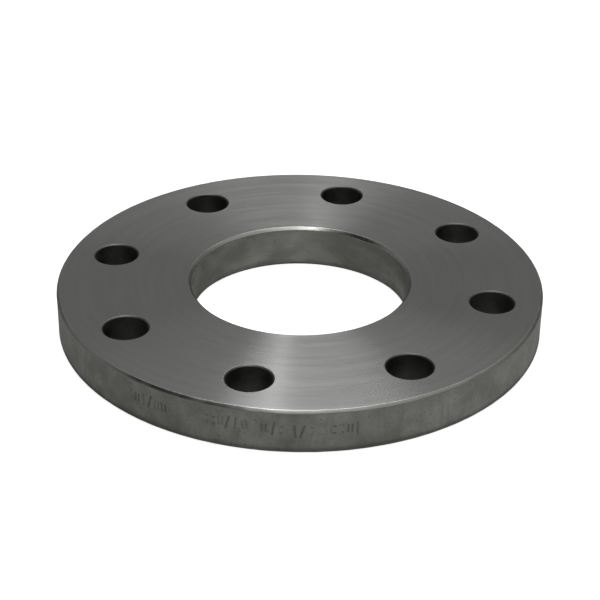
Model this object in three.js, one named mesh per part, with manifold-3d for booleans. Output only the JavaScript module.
// Slip-on plate flange, nominal pipe size DN 80: a flat steel ring with a through bore for the
// pipe and eight bolt holes, flat on both faces, with every edge broken by a small chamfer.
// Millimetres, +Z up along the bore. The origin is the bore's centre on the underside.
import * as THREE from "three";
import { mergeVertices } from "three/addons/utils/BufferGeometryUtils.js";
import Module from "manifold-3d";

// Driving dimensions.
const OUTER_DIAMETER = 200;
const THICKNESS = 18.5;
const BORE_DIAMETER = 90;
const BOLT_CIRCLE_DIAMETER = 160;
const BOLT_HOLE_DIAMETER = 18;
const BOLT_HOLE_COUNT = 8;
const RIM_CHAMFER = 1;
const BORE_CHAMFER = 1.2;
const BOLT_HOLE_CHAMFER = 0.5;

// Facets of the round surfaces.
const RING_FACETS = 192;
const BOLT_HOLE_FACETS = 48;

// The drill runs this far past each face, so that it cuts clean through.
const DRILL_OVERRUN = 2;

const STEEL_COLOUR = 0x6b6b68;
const STEEL_ROUGHNESS = 0.42;
const STEEL_METALNESS = 1;

const wasm = await Module();
wasm.setup();

// A solid of revolution about Z, from [radius, height] corners.
function turned(corners, facets) {
  const profile = corners.map(([radius, height]) => new THREE.Vector2(radius, height));
  return new THREE.LatheGeometry(profile, facets).rotateX(Math.PI / 2);
}

// A manifold-3d solid from a closed three.js geometry.
function toSolid(geometry) {
  const bare = geometry.clone();
  bare.deleteAttribute("normal");
  bare.deleteAttribute("uv");
  const merged = mergeVertices(bare);
  return new wasm.Manifold(
    new wasm.Mesh({
      numProp: 3,
      vertProperties: merged.attributes.position.array,
      triVerts: new Uint32Array(merged.index.array),
    }),
  );
}

// A three.js geometry, with flat normals, from a manifold-3d solid.
function toGeometry(solid) {
  const { vertProperties, triVerts } = solid.getMesh();
  const indexed = new THREE.BufferGeometry();
  indexed.setAttribute("position", new THREE.BufferAttribute(vertProperties, 3));
  indexed.setIndex(new THREE.BufferAttribute(triVerts, 1));
  const geometry = indexed.toNonIndexed();
  geometry.computeVertexNormals();
  return geometry;
}

// The blank: a rectangle of metal swept round the bore axis, its four corners chamfered.
function ringBlank() {
  const inner = BORE_DIAMETER / 2;
  const outer = OUTER_DIAMETER / 2;
  const corners = [
    [inner, BORE_CHAMFER],
    [inner + BORE_CHAMFER, 0],
    [outer - RIM_CHAMFER, 0],
    [outer, RIM_CHAMFER],
    [outer, THICKNESS - RIM_CHAMFER],
    [outer - RIM_CHAMFER, THICKNESS],
    [inner + BORE_CHAMFER, THICKNESS],
    [inner, THICKNESS - BORE_CHAMFER],
  ];
  return turned([...corners, corners[0]], RING_FACETS);
}

// What one bolt hole takes away: the drilled cylinder, flared at 45 degrees where it meets each face.
function drill() {
  const radius = BOLT_HOLE_DIAMETER / 2;
  const flare = radius + BOLT_HOLE_CHAMFER + DRILL_OVERRUN;
  const corners = [
    [0, -DRILL_OVERRUN],
    [flare, -DRILL_OVERRUN],
    [radius, BOLT_HOLE_CHAMFER],
    [radius, THICKNESS - BOLT_HOLE_CHAMFER],
    [flare, THICKNESS + DRILL_OVERRUN],
    [0, THICKNESS + DRILL_OVERRUN],
  ];
  return turned(corners, BOLT_HOLE_FACETS);
}

// Bolt holes straddle the X and Y axes, as on any pipe flange, so the first is half a pitch off +X.
function drilledRing() {
  const pitch = (2 * Math.PI) / BOLT_HOLE_COUNT;
  const radius = BOLT_CIRCLE_DIAMETER / 2;
  let solid = toSolid(ringBlank());
  for (let i = 0; i < BOLT_HOLE_COUNT; i += 1) {
    const angle = pitch * (i + 0.5);
    const cut = drill().translate(radius * Math.cos(angle), radius * Math.sin(angle), 0);
    solid = solid.subtract(toSolid(cut));
  }
  return toGeometry(solid);
}

const steel = new THREE.MeshStandardMaterial({
  name: "turned_steel",
  color: STEEL_COLOUR,
  roughness: STEEL_ROUGHNESS,
  metalness: STEEL_METALNESS,
});

const flangePlate = new THREE.Mesh(drilledRing(), steel);
flangePlate.name = "flange_plate";

const flange = new THREE.Group();
flange.add(flangePlate);

export default flange;
